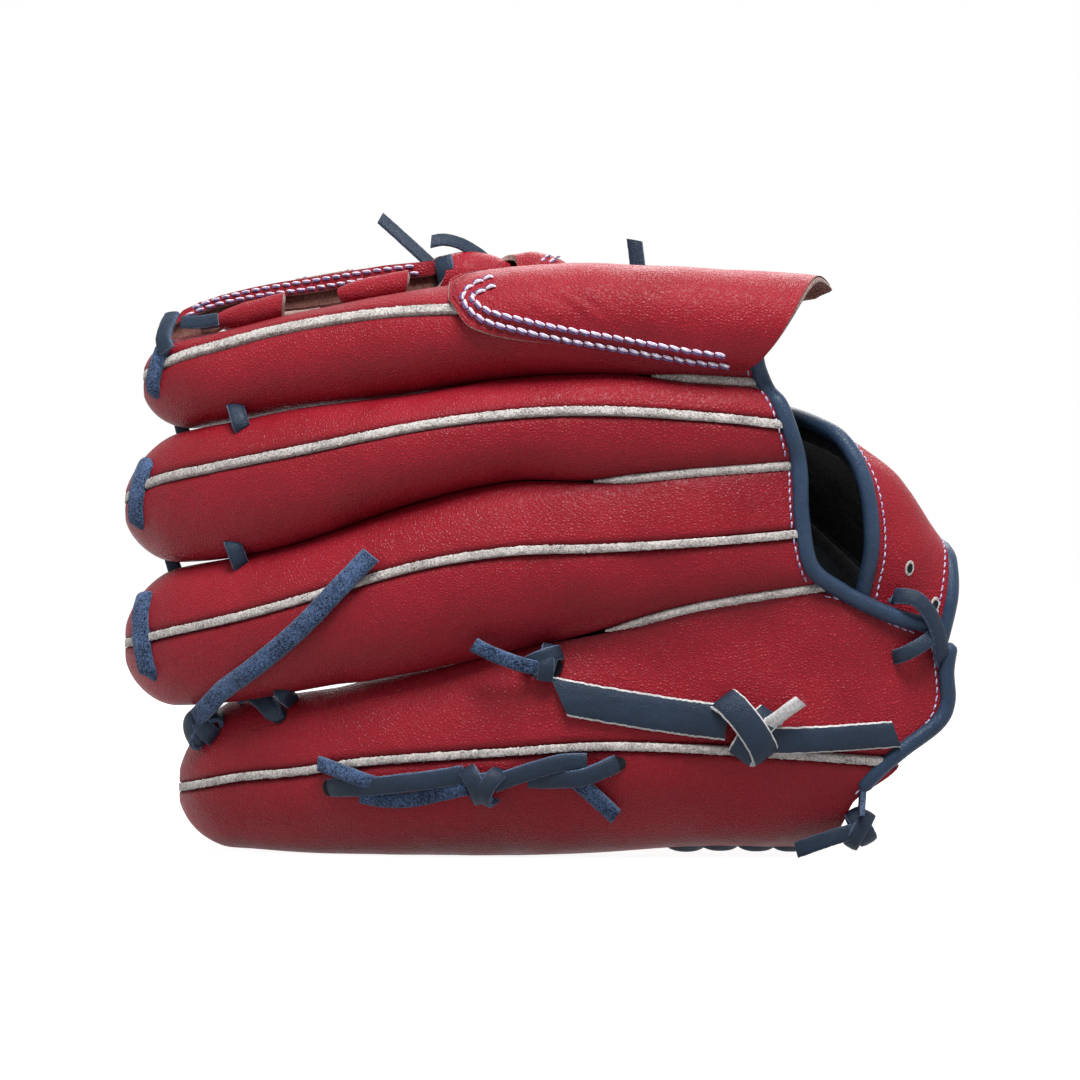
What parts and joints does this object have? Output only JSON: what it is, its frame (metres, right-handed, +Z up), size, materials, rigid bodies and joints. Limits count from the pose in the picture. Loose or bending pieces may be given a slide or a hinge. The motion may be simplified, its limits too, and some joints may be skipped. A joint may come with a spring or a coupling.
{
  "type": "baseball fielding glove",
  "caption": "Five-finger leather ball glove for the left hand with laced web, hooded first finger and wrist strap, standing on its little-finger edge.",
  "frame": {"origin": "centre of the bounding box's bottom, on the surface the glove stands on", "axes": "+X from the fingertips to the wrist, +Y from the back of the hand to the thumb, +Z up from the little-finger edge to the web"},
  "size_m": [0.2946, 0.1292, 0.2253],
  "materials": {
    "red_leather": "semi-gloss pebbled cowhide",
    "navy_binding": "satin rolled leather",
    "navy_lace": "rawhide lacing, smooth side out, suede edges",
    "split_welt": "rough split suede",
    "lining": "black deerskin and fleece",
    "felt": "pressed wool felt"
  },
  "bodies": {
    "hand": {"index_back_upper": "red_leather", "index_back_lower": "red_leather", "middle_back_upper": "red_leather", "middle_back_lower": "red_leather", "ring_back_upper": "red_leather", "ring_back_lower": "red_leather", "pinky_back_upper": "red_leather", "pinky_back_lower": "red_leather", "index_welt": "split_welt", "middle_welt": "split_welt", "ring_welt": "split_welt", "pinky_welt": "split_welt", "crotch_welts": "split_welt", "index_front": "red_leather", "middle_front": "red_leather", "ring_front": "red_leather", "pinky_front": "red_leather", "palm_leather": "red_leather", "palm_pad": "felt", "palm_lining": "lining", "index_hood": "red_leather", "opening_binding": "navy_binding", "heel_binding": "navy_binding", "wrist_strap": "red_leather", "strap_bindings": "navy_binding", "strap_fleece": "lining", "index_gusset": "red_leather", "fold_leather": "red_leather", "pinky_stiffener": "felt", "inner_pinky_loop": "red_leather", "web_index_post": "red_leather", "web_crossbar": "red_leather", "web_tabs": "red_leather", "web_base_loop": "red_leather", "crotch_loop": "red_leather", "web_index_lace": "navy_lace", "web_top_lace": "navy_lace", "gusset_lace": "navy_lace", "fingertip_lace": "navy_lace", "crotch_lace": "navy_lace", "pinky_tip_lace": "navy_lace", "pinky_loop_lace": "navy_lace", "ring_crotch_knot": "navy_lace", "lining_tie": "navy_lace", "strap_lace": "navy_lace", "heel_lace": "navy_lace"},
    "thumb": {"thumb_back_upper": "red_leather", "thumb_back_lower": "red_leather", "thumb_welt": "split_welt", "thumb_front": "red_leather", "thumb_palm": "red_leather", "thumb_pad": "felt", "thumb_lining": "lining", "thumb_gusset": "red_leather", "thumb_stiffener": "felt", "inner_thumb_loop": "red_leather", "web_thumb_post": "red_leather", "web_thumb_lace": "navy_lace"}
  },
  "joints": [
    {"name": "thumb_fold", "type": "hinge", "parent": "hand", "child": "thumb", "pos_m": [0.0317, 0.0056, 0.174], "axis": [0.8, 0, -0.6], "range_deg": [-10, 12], "deforming": ["fold_leather", "web_crossbar", "web_top_lace", "wrist_strap", "strap_bindings", "strap_fleece"]}
  ]
}
